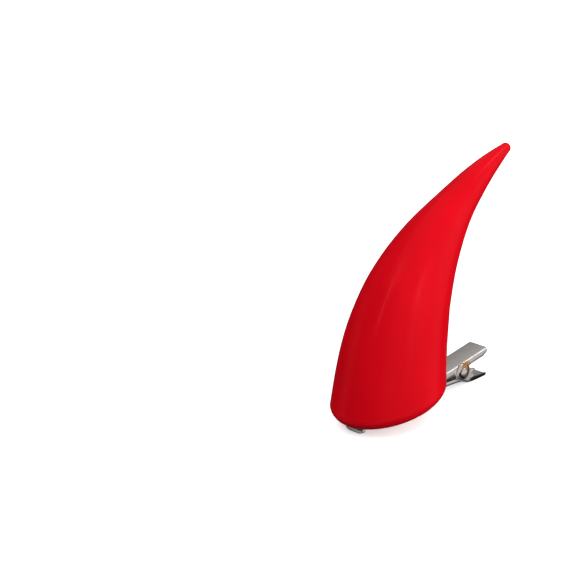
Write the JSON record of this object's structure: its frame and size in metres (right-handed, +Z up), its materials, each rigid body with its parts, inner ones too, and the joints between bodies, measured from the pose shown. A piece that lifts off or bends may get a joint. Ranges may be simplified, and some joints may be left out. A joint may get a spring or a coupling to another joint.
{
  "type": "devil horn hair clip",
  "caption": "Curved glossy red devil horn, hollow and closed at its foot, seated on a sprung steel hair clip with toothed jaws and two squeeze levers.",
  "frame": {"origin": "on the surface that the clip stands on, below the middle of the object's box", "axes": "+Z up from the surface, +X along the clip from its nose towards its levers and the horn's tip, +Y across the clip"},
  "size_m": [0.0678, 0.0298, 0.0628],
  "materials": {
    "horn_plastic": "smooth moulded red plastic with a semi-gloss skin",
    "clip_steel": "nickel-plated stamped strip with a fine grain along its length",
    "rivet_steel": "bright plated rivet with rounded heads",
    "spring_wire": "brass-toned drawn spring wire"
  },
  "bodies": {
    "root": {"horn": "horn_plastic", "clip_upper": "clip_steel", "pivot_pin": "rivet_steel", "spring": "spring_wire"},
    "lower_jaw": {"clip_lower": "clip_steel"}
  },
  "joints": [
    {"name": "jaw_hinge", "type": "hinge", "parent": "root", "child": "lower_jaw", "pos_m": [0.00739, 0.0008, 0.00485], "axis": [0, -1, 0], "range_deg": [0, 28], "stiffness_Nm_per_rad": 0.01, "springref_deg": -45.84, "deforming": ["spring"]}
  ]
}
